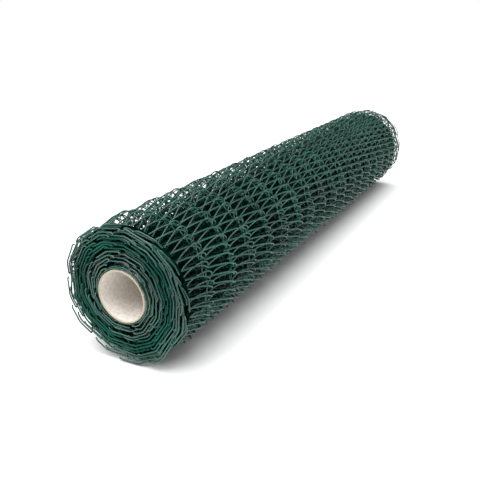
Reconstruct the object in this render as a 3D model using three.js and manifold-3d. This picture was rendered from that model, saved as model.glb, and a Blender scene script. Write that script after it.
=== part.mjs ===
import * as THREE from "three";
import Module from "manifold-3d";
import { mergeVertices } from "three/addons/utils/BufferGeometryUtils.js";

// A roll of green coated chain-link fence, wound tight on a cardboard tube and lying on its side.
// Millimetres, +Z up. The roll's axis runs along Y, and the origin is on the floor under its middle.
// The woven spirals are shown as one solid: the outline that their bends reach, with the bands that
// the rows of bends make along the roll, and the wound turns on its two ends.

// Fabric
const FENCE_HEIGHT = 1000; // the fence's height, which is the roll's length
const BAND_COUNT = 18; // rows of wire between two rings of bends, half a spiral's pitch each

// Roll
const SIDE_COUNT = 13; // the stiff flat spirals make the roll a polygon
const CORNER_RADIUS = 95; // from the axis to a corner, over the outermost bends
const BAND_RISE = 5.5; // each band climbs by this much from one ring of bends to the next
const CREST_LENGTH = 12; // the level stretch at the high end of each band
const BAND_STEP_LENGTH = 3; // the short drop from one band's crest to the foot of the next
const TURN_THICKNESS = 16.5; // radial depth of one wound turn of fabric
const TURN_GAP = 2.4; // the dark gap between two turns, seen on the ends
const TURN_GAP_DEPTH = 7; // how far in from each end the gaps are cut

// Tube
const TUBE_OUTER_RADIUS = 35;
const TUBE_WALL = 2.5;
const TUBE_SET_BACK = 1; // the tube stops this far inside the fabric's ends
const TUBE_FACETS = 64;
const TUBE_CLEARANCE = 0.3; // between the tube and the innermost turn

// Worked out from the sizes above
const HALF_HEIGHT = FENCE_HEIGHT / 2;
const BAND_LENGTH = FENCE_HEIGHT / BAND_COUNT;
const SIDE_ANGLE = (2 * Math.PI) / SIDE_COUNT;
const AXIS_HEIGHT = CORNER_RADIUS * Math.cos(SIDE_ANGLE / 2);
const BORE_RADIUS = TUBE_OUTER_RADIUS + TUBE_CLEARANCE;
const TUBE_LENGTH = FENCE_HEIGHT - 2 * TUBE_SET_BACK;

const wasm = await Module();
wasm.setup();

// A closed three.js geometry as a manifold-3d solid.
function solidOf(geometry) {
  const bare = geometry.clone();
  bare.deleteAttribute("normal");
  bare.deleteAttribute("uv");
  const merged = mergeVertices(bare, 1e-4);
  return new wasm.Manifold(
    new wasm.Mesh({
      numProp: 3,
      vertProperties: merged.attributes.position.array,
      triVerts: new Uint32Array(merged.index.array),
    }),
  );
}

// A manifold-3d solid as a three.js geometry.
function geometryOf(solid) {
  const mesh = solid.getMesh();
  const geometry = new THREE.BufferGeometry()
    .setAttribute("position", new THREE.BufferAttribute(mesh.vertProperties, 3))
    .setIndex(new THREE.BufferAttribute(mesh.triVerts, 1));
  geometry.computeVertexNormals();
  return geometry;
}

// The roll's profile: radius to a corner against the place along the axis, on the axis at both ends.
function bandProfile() {
  const points = [new THREE.Vector2(0, -HALF_HEIGHT)];
  for (let band = 0; band < BAND_COUNT; band++) {
    const start = -HALF_HEIGHT + band * BAND_LENGTH;
    const foot = band === 0 ? start : start + BAND_STEP_LENGTH;
    const end = start + BAND_LENGTH;
    points.push(new THREE.Vector2(CORNER_RADIUS - BAND_RISE, foot));
    points.push(new THREE.Vector2(CORNER_RADIUS, end - CREST_LENGTH));
    points.push(new THREE.Vector2(CORNER_RADIUS, end));
  }
  points.push(new THREE.Vector2(0, HALF_HEIGHT));
  return points;
}

// A corner of the wound path, counted in sides from the innermost turn. One side of the polygon
// faces straight down, so that the roll rests on it.
function pathCorner(side, offset) {
  const radius = BORE_RADIUS + offset + (side / SIDE_COUNT) * TURN_THICKNESS;
  const angle = -Math.PI / 2 + (side + 0.5) * SIDE_ANGLE;
  return new THREE.Vector2(radius * Math.cos(angle), radius * Math.sin(angle));
}

// The gap between the turns, as a band that follows the wound path from the bore to the outside.
function turnGap() {
  const depth = CORNER_RADIUS - BORE_RADIUS;
  const sideTotal = Math.round((depth / TURN_THICKNESS) * SIDE_COUNT);
  const inner = [];
  const outer = [];
  for (let side = 0; side <= sideTotal; side++) {
    inner.push(pathCorner(side, TURN_THICKNESS - TURN_GAP));
    outer.unshift(pathCorner(side, TURN_THICKNESS));
  }
  return new THREE.Shape([...inner, ...outer]);
}

// The gap's solid at one end: towards is -1 for the end at -Y and 1 for the end at +Y.
function endGap(towards) {
  const margin = 1;
  const geometry = new THREE.ExtrudeGeometry(turnGap(), {
    depth: TURN_GAP_DEPTH + margin,
    bevelEnabled: false,
  });
  geometry.rotateX(Math.PI / 2); // the extrusion now runs along -Y and the path's height is along Z
  const outside = HALF_HEIGHT + margin;
  const shift = towards < 0 ? -HALF_HEIGHT + TURN_GAP_DEPTH : outside;
  geometry.translate(0, shift, 0);
  return solidOf(geometry);
}

// The wound fabric: a polygon with its bands, its round bore and the turns on its ends.
function rolledFabric() {
  const outline = new THREE.LatheGeometry(bandProfile(), SIDE_COUNT);
  outline.rotateY(Math.PI + SIDE_ANGLE / 2); // from a corner on +Z to a side that faces down
  const bore = new THREE.CylinderGeometry(
    BORE_RADIUS,
    BORE_RADIUS,
    FENCE_HEIGHT + 2,
    TUBE_FACETS,
  );
  return geometryOf(
    solidOf(outline)
      .subtract(solidOf(bore))
      .subtract(endGap(-1))
      .subtract(endGap(1)),
  );
}

// The cardboard tube, a round wall that closes on itself.
function cardboardTube() {
  const inner = TUBE_OUTER_RADIUS - TUBE_WALL;
  const half = TUBE_LENGTH / 2;
  const wall = [
    new THREE.Vector2(inner, -half),
    new THREE.Vector2(TUBE_OUTER_RADIUS, -half),
    new THREE.Vector2(TUBE_OUTER_RADIUS, half),
    new THREE.Vector2(inner, half),
    new THREE.Vector2(inner, -half),
  ];
  return new THREE.LatheGeometry(wall, TUBE_FACETS);
}

const coatedWire = new THREE.MeshStandardMaterial({
  name: "green_coated_wire",
  color: 0x17503f,
  roughness: 0.4,
  metalness: 0,
});
const cardboard = new THREE.MeshStandardMaterial({
  name: "tube_cardboard",
  color: 0xd9d0c2,
  roughness: 0.9,
  metalness: 0,
});

const rolled = new THREE.Mesh(rolledFabric(), coatedWire);
rolled.name = "rolled_mesh";

const tube = new THREE.Mesh(cardboardTube(), cardboard);
tube.name = "core_tube";

const fenceRoll = new THREE.Group();
fenceRoll.add(rolled, tube);
fenceRoll.position.z = AXIS_HEIGHT;

export default fenceRoll;
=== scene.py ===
import math

import bpy
import numpy as np
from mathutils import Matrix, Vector


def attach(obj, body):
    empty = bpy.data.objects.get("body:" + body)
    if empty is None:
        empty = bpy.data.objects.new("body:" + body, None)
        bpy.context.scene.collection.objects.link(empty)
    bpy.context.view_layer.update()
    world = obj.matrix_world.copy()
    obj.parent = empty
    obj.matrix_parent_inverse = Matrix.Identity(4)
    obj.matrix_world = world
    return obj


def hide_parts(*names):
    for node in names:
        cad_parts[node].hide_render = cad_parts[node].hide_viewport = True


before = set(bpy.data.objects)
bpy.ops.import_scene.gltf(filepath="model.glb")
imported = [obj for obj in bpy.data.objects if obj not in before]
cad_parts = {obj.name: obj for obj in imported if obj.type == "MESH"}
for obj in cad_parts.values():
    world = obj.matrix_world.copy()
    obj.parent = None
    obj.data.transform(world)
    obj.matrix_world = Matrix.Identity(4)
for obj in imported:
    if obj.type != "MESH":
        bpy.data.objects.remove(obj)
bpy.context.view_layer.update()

# A roll of green coated chain-link fence. Metres, +Z up, the roll's axis along Y.
# Every wire is a flattened spiral that runs the length of the roll. Where a spiral bends, at every
# ring, it hooks round its neighbour. Angles run clockwise as the near end is seen, from its left.
LENGTH = 1.0
BANDS = 18  # rows of wire between rings of bends
BAND = LENGTH / BANDS
BAND_TIGHTENING = 0.05  # the first band is this share longer than the mean, and the last one shorter
OUTER = 0.095  # from the axis to the corners of the roll
AXIS_Z = 0.09223
WIRE = 0.0020
FLOOR_GAP = 0.0004
WHOLE_TURN = 2 * np.pi

# The roll's polygon
CORNERS = [19.0, 45.0, 71.0, 97.0, 122.0, 145.0, 172.0, 198.0, 234.0, 259.0, 291.0, 324.0, 348.0]
CORNER_BLUR = math.radians(1.4)
SHAPE_STEPS = 1440  # places round the polygon at which its outline is worked out
BLUR_REACH = 36  # so many of these places to each side count where a corner is rounded

# The wound fabric
STEP = 0.0059  # from one spiral to the next, along the winding
STEP_SPREAD = 0.05
TURN = 0.0165  # from one turn to the next
TURNS_WHOLE = 2.0  # turns whose spirals are modelled from end to end
TURNS_ALL = 3.95
START = math.radians(-98.0)  # where the outer end of the fabric lies
FREE_END = 10  # so many spirals at the fabric's outer end sink into the roll
FREE_END_INSET = 0.008
STEADY_SINKING = 0.22  # the share of a turn's thickness that the fabric sinks at an even rate
SINK_FROM = 0.62  # the rest is lost from this share of the turn on

# One whole turn of a spiral in the body of the roll, two bands long, as (bands along, mm clockwise,
# mm outward). It climbs along the outside, hooks over and in at the ring, comes back underneath, and
# climbs again to the next ring.
BODY_LOOP = [(0.05, 0, -11), (0.18, 1, -8), (0.36, 2.4, -4.5), (0.62, 5, 0), (0.80, 8, 2.6),
             (0.92, 12, 3.4), (0.99, 16, 0.5), (1.04, 17.5, -8), (1.14, 9, -13), (1.26, -3, -13.5),
             (1.44, -7.5, -12.5), (1.58, -10, -9.5), (1.70, -12, -4), (1.81, -12.4, 1), (1.90, -10.6, 3.2),
             (1.97, -6.5, 1.6), (2.02, -2.2, -5.5)]
LOOP_BANDS = 2.0
LOOP_BLUR = 0.026  # bands
LOOP_PLACES = 800
BODY_INSET = 0.0008  # from the polygon's outline to the highest wires
HOOK_RISE = 0.0028  # the hooks along the body stand this much higher than the wires on the ends
LOOP_HALF_DEPTH = 0.006  # the loop's width is measured this far below its crest
SIZE_SPREAD = 0.04  # chance differences between the spirals, here and below, are spreads
HEIGHT_WAVE = 0.0006  # a spiral's slow rise and fall along the roll, and how fast it comes
HEIGHT_WAVE_RATE = 0.21
RING_SHIFT = 0.0006  # the spread of how far a whole spiral is shifted along the roll
RING_WAVE = 0.0012  # how far the rings wander along the roll, and how fast
RING_WAVE_RATE = 0.37
RING_WAVE_COUNT = 3.0  # waves of a ring in one turn round the roll

# The runs in which the wires lie flat on the roll's two ends
RUN_LEVELS = 4  # the runs of so many pairs of spirals in a row lie one inside another
RUN_PAIR_STEP = 0.125  # of a turn's thickness, between the two runs of a pair
RUN_WIDE = 0.0490
RUN_WIDE_SPREAD = 0.05
RUN_THICK = 0.0012
RUN_FLATNESS = 0.95
RUN_TILT = 1.8  # degrees
RUN_TILT_SPREAD = 1.6
RUN_INSET = 0.0012
RUN_INSET_SPREAD = 0.0003
RIM_INSET = 0.0022  # the outermost runs stay this far inside the polygon's outline
TAIL_FROM = 0.78  # the last part of a run's half turn bends in
TAIL_BEND = 0.0030
TAIL = 1.0  # half turns of a spiral on each end of the roll
LAYERS = 3  # runs lie on so many layers
NEAR_LAYER = 0.0011
NEAR_LAYER_STEP = 0.0006
NEAR_LAYER_SPREAD = 0.0003
FAR_LAYER = 0.0013
FAR_LAYER_STEP = 0.0012
FAR_LAYER_SPREAD = 0.0006
LAYER_MIN = 0.0012
TUCK = 0.0080  # every second spiral's runs lie this much deeper
LEAD = 0.0035  # along the roll, from a run to the first bend
BLEND_START = 0.005  # from each end, where the runs begin to turn into the body's loops
NEAR_BLEND = 0.32 * BAND
FAR_BLEND = 0.45 * BAND

# The wires' meshes
LOOP_STEPS = 18  # tube rings for each half turn of a spiral
CROWD = 2.5  # how strongly the tube rings are gathered at the bends
WIRE_SIDES = 6
INNER_REACH = 1.5  # bands in from each end to which the deeper turns' wires are made
OFF_WIRE = (0.31, 0.52, 0.79)  # a direction that no wire takes

# The tube
TUBE_OUTER = 0.035
TUBE_WALL = 0.0025
TUBE_SET_BACK = 0.001
TUBE_CLEARANCE = 0.0006
TUBE_CHAMFER = 0.0004
TUBE_SEGMENTS = 128
TUBE_RINGS = 240  # along the inside, which shows its seams
TUBE_OUTER_EVERY = 40  # the hidden outside has a ring for every so many of these
TUBE_EDGE = 0.0005  # from each cut edge to the first ring
SHARP_ANGLE = math.radians(35)
SEAM_PITCH = 0.118
SEAM_WIDTH = 0.012  # of the pitch
SEAM_LIP = 0.00025

# The core that stands for the hidden turns, as (radius, y), near black as painted shade. It flares behind
# the runs on each end.
CORE = [(0.0354, -0.486), (0.0354, 0.480), (0.080, 0.480), (0.080, 0.473), (0.062, 0.455),
        (0.062, -0.450), (0.076, -0.470), (0.086, -0.479), (0.086, -0.486)]
CORE_SEGMENTS = 96

# Materials, as linear colours
COATING_DARK = (0.002, 0.048, 0.033, 1)
COATING_LIGHT = (0.006, 0.098, 0.068, 1)
# painted shade: the core's near-black green stands for the hidden turns in the roll's shadow
CORE_SHADE_DARK = (0.0002, 0.003, 0.002, 1)
CORE_SHADE_LIGHT = (0.0015, 0.018, 0.012, 1)
BOARD_DARK = (0.66, 0.60, 0.54, 1)
BOARD_LIGHT = (0.84, 0.80, 0.75, 1)
BOARD_CUT = (0.46, 0.37, 0.26, 1)
FLOOR_COLOUR = (0.86, 0.86, 0.86, 1)
WHITE = (1.0, 1.0, 1.0, 1)


def smooth(x):
    x = np.clip(x, 0.0, 1.0)
    return x * x * (3 - 2 * x)


def bell(distance, width):
    """Weights that fall off with distance and add up to one."""
    weights = np.exp(-0.5 * (distance / width) ** 2)
    return weights / weights.sum()


def on_cycle(values, share):
    """A value of a closed curve, at a share of the way round it."""
    place = (share % 1) * len(values)
    low = np.floor(place).astype(int) % len(values)
    part = place - np.floor(place)
    return values[low] * (1 - part) + values[(low + 1) % len(values)] * part


def corner_shape():
    """The roll's outline as a share of its corner radius, with its corners rounded a little."""
    corners = np.radians(np.array(CORNERS + [CORNERS[0] + 360.0]))
    angles = np.arange(SHAPE_STEPS) / SHAPE_STEPS * 2 * np.pi
    turned = np.where(angles < corners[0], angles + WHOLE_TURN, angles)
    shape = np.ones(SHAPE_STEPS)
    for low, high in zip(corners[:-1], corners[1:]):
        inside = (turned >= low) & (turned <= high)
        shape[inside] = math.cos((high - low) / 2) / np.cos(turned[inside] - (low + high) / 2)
    steps = np.arange(-BLUR_REACH, BLUR_REACH + 1) * 2 * np.pi / SHAPE_STEPS
    wrapped = np.concatenate([shape[-BLUR_REACH:], shape, shape[:BLUR_REACH]])
    return np.convolve(wrapped, bell(steps, CORNER_BLUR), "valid")


def loop_curves():
    """The body loop's clockwise and outward offsets, in metres, at even steps over its two bands."""
    points = np.array(BODY_LOOP)
    places = np.arange(LOOP_PLACES) / LOOP_PLACES * LOOP_BANDS
    blur = np.fft.fft(bell(np.minimum(places, LOOP_BANDS - places), LOOP_BLUR))
    curves = []
    for column in (1, 2):
        values = np.interp(places, points[:, 0], points[:, column], period=LOOP_BANDS)
        curves.append(np.real(np.fft.ifft(np.fft.fft(values) * blur)) / 1000)
    curves[0] -= (curves[0].max() + curves[0].min()) / 2
    curves[1] -= curves[1].max()
    return curves


SHAPE = corner_shape()
LOOP_ACROSS, LOOP_OUT = loop_curves()
LOOP_DEPTH = -LOOP_OUT.min()


def outline(angle):
    return on_cycle(SHAPE, angle / WHOLE_TURN)


def ring_place(half):
    """How far along the fabric the half turn lies, as a share of its height."""
    return half / BANDS * (1 + BAND_TIGHTENING * (1 - half / BANDS))


def sinking(turned):
    """How many turns deep the fabric lies, once it has turned by this angle."""
    whole_turns = math.floor(turned / WHOLE_TURN)
    part = turned / WHOLE_TURN - whole_turns
    rest = float(smooth((part - SINK_FROM) / (1 - SINK_FROM)))
    return whole_turns + STEADY_SINKING * part + (1 - STEADY_SINKING) * rest


def run_depth(number, turned):
    """How deep a spiral's runs lie on the ends: each lies inside the one before, level by level."""
    whole_turns = math.floor(turned / WHOLE_TURN)
    part = turned / WHOLE_TURN - whole_turns
    level = number // 2 % RUN_LEVELS / RUN_LEVELS
    return TURN * (whole_turns + (level + part + RUN_PAIR_STEP * (number % 2)) % 1.0)


def winding():
    """Every spiral from the outside in, with its place in the roll and its own chance values."""
    chance = np.random.default_rng(11)
    spirals = []
    turned, number = 0.0, 0
    while turned < TURNS_ALL * WHOLE_TURN:
        inset = FREE_END_INSET * max(0.0, 1 - number / FREE_END)
        scale = 1.0 - (TURN * sinking(turned) + inset) / OUTER
        draws = chance.normal(size=10)
        spirals.append(dict(number=number, turned=turned, angle=START - turned, scale=scale,
                            depth=run_depth(number, turned), size=draws[0], tilt=draws[2],
                            shift=draws[3], wave=draws[5], near=draws[6], far=draws[7], inset=draws[8]))
        middle = OUTER * scale - 0.5 * LOOP_DEPTH
        turned += STEP * (1 + STEP_SPREAD * chance.normal()) / middle
        number += 1
    return spirals


def gathered(half):
    """The half turns, with the points between two bends moved towards the bends."""
    inside = np.clip(half, 0.0, BANDS)
    whole = np.minimum(np.floor(inside), BANDS - 1)
    return whole + 0.5 + 0.5 * np.tanh(CROWD * (inside - whole - 0.5)) / math.tanh(CROWD / 2)


def along_roll(spiral, half, along):
    """How far each point lies from the near end."""
    layer, tucked = spiral["number"] // 2 % LAYERS, TUCK * (spiral["number"] % 2)
    near = NEAR_LAYER + NEAR_LAYER_STEP * layer + tucked + NEAR_LAYER_SPREAD * spiral["near"]
    far = FAR_LAYER + FAR_LAYER_STEP * layer + tucked + FAR_LAYER_SPREAD * spiral["far"]
    near, far = max(near, LAYER_MIN), max(far, LAYER_MIN)
    y = near + LEAD + ring_place(along) * (LENGTH - near - far - 2 * LEAD)
    return y - np.clip(-half, 0.0, 2.0) * LEAD + np.clip(half - BANDS, 0.0, 2.0) * LEAD


def body_offsets(spiral, turn, bands):
    """Clockwise and outward offsets of the points that lie in the body of the roll."""
    size = 1 + SIZE_SPREAD * spiral["size"]
    wave = HEIGHT_WAVE * np.sin(turn * HEIGHT_WAVE_RATE + 2 * spiral["wave"])
    across = on_cycle(LOOP_ACROSS, bands / LOOP_BANDS) * size
    return across, on_cycle(LOOP_OUT, bands / LOOP_BANDS) * size - WIRE / 2 - BODY_INSET - wave


def run_offsets(spiral, phase, half):
    """Clockwise and outward offsets of the points that lie on the roll's ends."""
    wide = RUN_WIDE * (1 + RUN_WIDE_SPREAD * spiral["size"])
    tilt = np.radians(RUN_TILT + RUN_TILT_SPREAD * spiral["tilt"])
    cosine, sine = np.cos(phase), np.sin(phase)
    flat_across = -wide / 2 * np.sign(cosine) * np.abs(cosine) ** RUN_FLATNESS
    flat_out = RUN_THICK / 2 * np.sign(sine) * np.abs(sine) ** RUN_FLATNESS
    across = flat_across * np.cos(tilt) - flat_out * np.sin(tilt)
    out = flat_across * np.sin(tilt) + flat_out * np.cos(tilt)
    out = out - WIRE / 2 - RUN_INSET - RUN_INSET_SPREAD * spiral["inset"]
    tail = np.maximum(-half, half - BANDS)
    return across, out - TAIL_BEND * smooth((tail - TAIL_FROM) / (1 - TAIL_FROM))


def wire_line(spiral, first, last):
    """A spiral's centre line between two half turns. Those before 0 and past BANDS lie on the ends."""
    turn = np.linspace(first * np.pi, last * np.pi, int((last - first) * LOOP_STEPS) + 1)
    half = turn / np.pi
    along = gathered(half)
    other = spiral["number"] % 2
    y = along_roll(spiral, half, along)
    from_near = smooth((y - BLEND_START) / NEAR_BLEND)
    from_far = smooth((LENGTH - BLEND_START - y) / FAR_BLEND)
    body = np.minimum(from_near, from_far)
    body_across, body_out = body_offsets(spiral, turn, along + other)
    run_across, run_out = run_offsets(spiral, turn + np.pi * other, half)
    across = run_across + (body_across - run_across) * body
    out = run_out + (body_out - run_out) * body
    wander = RING_WAVE * np.sin(turn * RING_WAVE_RATE + RING_WAVE_COUNT * spiral["angle"])
    y = y + body * (RING_SHIFT * spiral["shift"] + wander)
    reach = OUTER * spiral["scale"] * body + (OUTER - spiral["depth"]) * (1 - body)
    angle = spiral["angle"] + across / (reach - LOOP_HALF_DEPTH * body)
    radius = np.maximum(reach * outline(angle) + out, TUBE_OUTER + WIRE / 2 + TUBE_CLEARANCE)
    rim = (OUTER - RIM_INSET + RIM_INSET * body) * outline(angle)
    radius = np.minimum(radius, rim) + HOOK_RISE * body
    z = np.maximum(AXIS_Z + np.sin(angle) * radius, WIRE / 2 + FLOOR_GAP)
    return np.stack([-np.cos(angle) * radius, y - LENGTH / 2, z], -1)


def cross_directions(points):
    """Two unit vectors square to each wire at each of its points, which don't twist along the wire."""
    ahead = np.empty_like(points)
    ahead[:, 1:-1] = points[:, 2:] - points[:, :-2]
    ahead[:, 0] = points[:, 1] - points[:, 0]
    ahead[:, -1] = points[:, -1] - points[:, -2]
    ahead /= np.linalg.norm(ahead, axis=2, keepdims=True)
    side = np.cross(ahead[:, 0], np.array(OFF_WIRE))
    side /= np.linalg.norm(side, axis=1, keepdims=True)
    sides = np.empty_like(points)
    for k in range(points.shape[1]):
        side = side - (side * ahead[:, k]).sum(1, keepdims=True) * ahead[:, k]
        side /= np.linalg.norm(side, axis=1, keepdims=True)
        sides[:, k] = side
    return sides, np.cross(ahead, sides)


def link(name, mesh, material):
    piece = bpy.data.objects.new(name, mesh)
    bpy.context.scene.collection.objects.link(piece)
    mesh.materials.append(material)
    return piece


def tubes(name, lines, material):
    """One mesh of round wires along the centre lines, which all have the same number of points."""
    points = np.stack(lines)
    wires, rings = points.shape[:2]
    sides = WIRE_SIDES
    one, other = cross_directions(points)
    angles = np.arange(sides) / sides * 2 * np.pi
    ring = (np.cos(angles)[None, None, :, None] * one[:, :, None, :]
            + np.sin(angles)[None, None, :, None] * other[:, :, None, :])
    verts = (points[:, :, None, :] + WIRE / 2 * ring).reshape(-1, 3)
    base = (np.arange(wires)[:, None, None] * rings + np.arange(rings - 1)[None, :, None]) * sides
    this = np.arange(sides)[None, None, :]
    following = (this + 1) % sides
    quads = np.stack([base + this, base + following, base + sides + following, base + sides + this], -1)
    quads = quads.reshape(-1, 4)
    starts = np.arange(wires) * rings * sides
    ends = starts + (rings - 1) * sides
    caps = np.concatenate([starts[:, None] + np.arange(sides)[::-1], ends[:, None] + np.arange(sides)])
    loops = np.concatenate([quads.ravel(), caps.ravel()])
    sizes = np.concatenate([np.full(len(quads), 4), np.full(len(caps), sides)])
    loop_starts = np.concatenate([[0], np.cumsum(sizes)[:-1]])
    mesh = bpy.data.meshes.new(name)
    mesh.vertices.add(len(verts))
    mesh.vertices.foreach_set("co", verts.astype(np.float32).ravel())
    mesh.loops.add(len(loops))
    mesh.loops.foreach_set("vertex_index", loops.astype(np.int32))
    mesh.polygons.add(len(sizes))
    mesh.polygons.foreach_set("loop_start", loop_starts.astype(np.int32))
    mesh.update(calc_edges=True)
    mesh.validate()
    mesh.shade_smooth()
    return link(name, mesh, material)


def lathe(name, profile, segments, material, wobble=None):
    """A closed ring-shaped solid about the roll's axis. The profile is (radius, y) corners in order."""
    profile = np.array(profile)
    count = len(profile)
    turn = np.arange(segments) / segments * 2 * np.pi
    radius = profile[None, :, 0].repeat(segments, 0)
    along = profile[None, :, 1].repeat(segments, 0)
    if wobble is not None:
        radius = wobble(turn[:, None], radius, along)
    verts = np.stack([np.cos(turn)[:, None] * radius, along, AXIS_Z + np.sin(turn)[:, None] * radius], -1)
    faces = []
    for i in range(segments):
        j = (i + 1) % segments
        for k in range(count):
            m = (k + 1) % count
            faces.append((i * count + k, j * count + k, j * count + m, i * count + m))
    mesh = bpy.data.meshes.new(name)
    mesh.from_pydata(verts.reshape(-1, 3).tolist(), [], faces)
    mesh.validate()
    mesh.update()
    return link(name, mesh, material)


def seams(turn, radius, along):
    """The wound plies' butt joints: a shallow step that runs round the tube's inside and outside."""
    phase = (along / SEAM_PITCH - turn / WHOLE_TURN) % 1.0
    lip = np.exp(-((phase - 0.5) / SEAM_WIDTH) ** 2) * SEAM_LIP
    inside = radius < TUBE_OUTER - TUBE_WALL / 2
    return radius + np.where(inside, lip, -lip)


def new_material(name):
    """A material with its nodes, its shader and the object's own coordinates."""
    material = bpy.data.materials.new(name)
    material.use_nodes = True
    tree = material.node_tree
    place = tree.nodes.new("ShaderNodeTexCoord").outputs["Object"]
    return material, tree, tree.nodes["Principled BSDF"], place


def noise(tree, place, scale, detail):
    made = tree.nodes.new("ShaderNodeTexNoise")
    made.inputs["Scale"].default_value = scale
    made.inputs["Detail"].default_value = detail
    tree.links.new(place, made.inputs["Vector"])
    return made.outputs["Fac"]


def two_colours(tree, amount, low, dark, high, light):
    made = tree.nodes.new("ShaderNodeValToRGB")
    for stop, position, colour in zip(made.color_ramp.elements, (low, high), (dark, light)):
        stop.position = position
        stop.color = colour
    tree.links.new(amount, made.inputs["Fac"])
    return made.outputs["Color"]


def mapped(tree, value, from_range, to_range):
    made = tree.nodes.new("ShaderNodeMapRange")
    made.inputs["From Min"].default_value, made.inputs["From Max"].default_value = from_range
    made.inputs["To Min"].default_value, made.inputs["To Max"].default_value = to_range
    tree.links.new(value, made.inputs["Value"])
    return made.outputs["Result"]


def near_ends(tree, place, far, close, to_range):
    """A value that changes between two distances from either end of the roll."""
    split = tree.nodes.new("ShaderNodeSeparateXYZ")
    tree.links.new(place, split.inputs["Vector"])
    distance = tree.nodes.new("ShaderNodeMath")
    distance.operation = "ABSOLUTE"
    tree.links.new(split.outputs["Y"], distance.inputs[0])
    return mapped(tree, distance.outputs["Value"], (LENGTH / 2 - far, LENGTH / 2 - close), to_range)


def bumps(tree, height, strength, distance, shader):
    made = tree.nodes.new("ShaderNodeBump")
    made.inputs["Strength"].default_value = strength
    made.inputs["Distance"].default_value = distance
    tree.links.new(height, made.inputs["Height"])
    tree.links.new(made.outputs["Normal"], shader.inputs["Normal"])


def coated_wire_material(name, painted_shade, shine, clear):
    """Green plastic coating, with painted shade that darkens its colour inside the roll, but not within
    the clear depth of its ends.
    """
    material, tree, shader, place = new_material(name)
    broad = noise(tree, place, 14.0, 3.0)
    colour = two_colours(tree, broad, 0.3, COATING_DARK, 0.72, COATING_LIGHT)
    # painted shade: the colour is multiplied down by the shade factor away from the roll's ends
    tint = tree.nodes.new("ShaderNodeMix")
    tint.data_type = "RGBA"
    tint.blend_type = "MULTIPLY"
    tint.inputs["Factor"].default_value = 1.0
    tree.links.new(colour, tint.inputs["A"])
    tree.links.new(near_ends(tree, place, 2 * clear, clear, (painted_shade, 1.0)), tint.inputs["B"])
    tree.links.new(tint.outputs["Result"], shader.inputs["Base Color"])
    grain = noise(tree, place, 420.0, 2.0)
    tree.links.new(mapped(tree, grain, (0.0, 1.0), (0.20, 0.32)), shader.inputs["Roughness"])
    bumps(tree, grain, 0.25, 0.0003, shader)
    shader.inputs["Specular IOR Level"].default_value = shine
    return material


def deep_turns_shade_material():
    # Painted shade: a near-black green with no shine, darker than the coating, for the hidden turns in
    # shadow.
    material, tree, shader, place = new_material("deep_turns")
    weave = noise(tree, place, 160.0, 2.0)
    colour = two_colours(tree, weave, 0.42, CORE_SHADE_DARK, 0.66, CORE_SHADE_LIGHT)
    tree.links.new(colour, shader.inputs["Base Color"])
    shader.inputs["Specular IOR Level"].default_value = 0.0
    shader.inputs["Roughness"].default_value = 0.8
    return material


def board_material():
    """Off-white paperboard, brown where it is cut."""
    material, tree, shader, place = new_material("tube_board")
    fibre = noise(tree, place, 260.0, 6.0)
    colour = two_colours(tree, fibre, 0.30, BOARD_DARK, 0.62, BOARD_LIGHT)
    bare = tree.nodes.new("ShaderNodeMix")
    bare.data_type = "RGBA"
    bare.inputs["B"].default_value = BOARD_CUT
    tree.links.new(near_ends(tree, place, 0.0019, 0.0013, (0.0, 1.0)), bare.inputs["Factor"])
    tree.links.new(colour, bare.inputs["A"])
    tree.links.new(bare.outputs["Result"], shader.inputs["Base Color"])
    bumps(tree, fibre, 0.5, 0.0004, shader)
    shader.inputs["Roughness"].default_value = 0.85
    return material


def fabric():
    """The wires: the two outer turns from end to end, and the deeper ones on the two ends only."""
    outer_wire = coated_wire_material("coated_wire", 1.0, 0.65, 0.010)
    # painted shade: the second turn's and the deeper turns' wires are darker copies of the coating, for
    # the shade inside the roll
    second_wire_shaded = coated_wire_material("coated_wire_inside_painted_shade", 0.30, 0.15, 0.010)
    inner_wire_shaded = coated_wire_material("coated_wire_ends_painted_shade", 0.15, 0.75, 0.0045)
    spirals = winding()
    first_turn = [s for s in spirals if s["turned"] < WHOLE_TURN]
    second_turn = [s for s in spirals if WHOLE_TURN <= s["turned"] < TURNS_WHOLE * WHOLE_TURN]
    inner = [s for s in spirals if s["turned"] >= TURNS_WHOLE * WHOLE_TURN]
    third, half = len(first_turn) // 3, len(second_turn) // 2
    end_to_end = (-TAIL, BANDS + TAIL)
    groups = [("spirals_outer_a", first_turn[:third], end_to_end, outer_wire),
              ("spirals_outer_b", first_turn[third:2 * third], end_to_end, outer_wire),
              ("spirals_outer_c", first_turn[2 * third:], end_to_end, outer_wire),
              ("spirals_second_a", second_turn[:half], end_to_end, second_wire_shaded),
              ("spirals_second_b", second_turn[half:], end_to_end, second_wire_shaded),
              ("spirals_inner_near", inner, (-TAIL, INNER_REACH), inner_wire_shaded),
              ("spirals_inner_far", inner, (BANDS - INNER_REACH, BANDS + TAIL), inner_wire_shaded)]
    for name, group, (first, last), material in groups:
        piece = tubes(name, [wire_line(spiral, first, last) for spiral in group], material)
        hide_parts("rolled_mesh")
        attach(piece, "root")


def deep_turns():
    core = lathe("deep_turns", CORE, CORE_SEGMENTS, deep_turns_shade_material())
    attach(core, "root")


def cardboard_tube():
    near, far = -LENGTH / 2 + TUBE_SET_BACK, LENGTH / 2 - TUBE_SET_BACK
    inner = TUBE_OUTER - TUBE_WALL
    places = np.linspace(near + TUBE_EDGE, far - TUBE_EDGE, TUBE_RINGS)
    profile = [(inner + TUBE_CHAMFER, near)]
    profile += [(inner, y) for y in places]
    profile += [(inner + TUBE_CHAMFER, far), (TUBE_OUTER - TUBE_CHAMFER, far)]
    profile += [(TUBE_OUTER, y) for y in places[::-TUBE_OUTER_EVERY]]
    profile += [(TUBE_OUTER - TUBE_CHAMFER, near)]
    tube = lathe("cardboard_tube", profile, TUBE_SEGMENTS, board_material(), seams)
    tube.data.shade_smooth()
    tube.data.set_sharp_from_angle(angle=SHARP_ANGLE)
    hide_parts("core_tube")
    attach(tube, "root")


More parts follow.
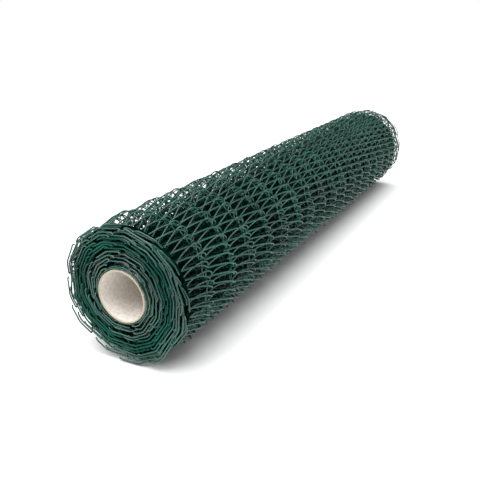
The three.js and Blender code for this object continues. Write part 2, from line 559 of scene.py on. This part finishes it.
def pale_floor():
    material, _, shader, _ = new_material("floor")
    shader.inputs["Base Color"].default_value = FLOOR_COLOUR
    shader.inputs["Roughness"].default_value = 0.9
    shader.inputs["Specular IOR Level"].default_value = 0.1
    mesh = bpy.data.meshes.new("floor")
    mesh.from_pydata([(-8, -6, 0), (8, -6, 0), (8, 12, 0), (-8, 12, 0)], [], [(0, 1, 2, 3)])
    floor = link("floor", mesh, material)


def surroundings():
    """White to the camera, and a dimmer white to everything that it lights."""
    world = bpy.data.worlds.new("studio")
    bpy.context.scene.world = world
    world.use_nodes = True
    tree = world.node_tree
    backdrop = tree.nodes["Background"]
    backdrop.inputs["Color"].default_value = WHITE
    backdrop.inputs["Strength"].default_value = 0.50
    seen = tree.nodes.new("ShaderNodeBackground")
    seen.inputs["Color"].default_value = WHITE
    seen.inputs["Strength"].default_value = 1.0
    path = tree.nodes.new("ShaderNodeLightPath")
    choose = tree.nodes.new("ShaderNodeMixShader")
    tree.links.new(path.outputs["Is Camera Ray"], choose.inputs["Fac"])
    tree.links.new(backdrop.outputs["Background"], choose.inputs[1])
    tree.links.new(seen.outputs["Background"], choose.inputs[2])
    tree.links.new(choose.outputs["Shader"], tree.nodes["World Output"].inputs["Surface"])


def place_facing(name, data, place, direction):
    """An object for a light or camera, looking in a direction with +Z kept up."""
    item = bpy.data.objects.new(name, data)
    item.location = place
    item.rotation_mode = "QUATERNION"
    item.rotation_quaternion = Vector(direction).to_track_quat("-Z", "Y")
    bpy.context.scene.collection.objects.link(item)
    return item


def lights():
    """A broad soft light from above and a weak one in front of the near end."""
    key = bpy.data.lights.new("key", "SUN")
    key.energy = 4.3
    key.angle = math.radians(70)
    place_facing("key", key, (0.0, 0.0, 0.0), (0.03, 0.16, -1.0))
    front = bpy.data.lights.new("front", "AREA")
    front.size = 1.0
    front.energy = 9
    place, target = Vector((-0.9, -2.2, 1.1)), Vector((0.0, -0.3, 0.08))
    place_facing("front", front, place, target - place)


def photo_camera():
    data = bpy.data.cameras.new("camera")
    data.sensor_width = 36.0
    data.lens = data.sensor_width / 2 / math.tan(math.radians(44.1145) / 2)
    data.clip_start = 0.02
    data.clip_end = 60.0
    yaw, pitch = math.radians(27.95), math.radians(20.94)
    forward = (-math.sin(yaw) * math.cos(pitch), math.cos(yaw) * math.cos(pitch), -math.sin(pitch))
    bpy.context.scene.camera = place_facing("camera", data, (0.4273, -0.9984, 0.4114), forward)


fabric()
deep_turns()
cardboard_tube()
pale_floor()
surroundings()
lights()
photo_camera()
bpy.context.scene.view_settings.view_transform = "Standard"
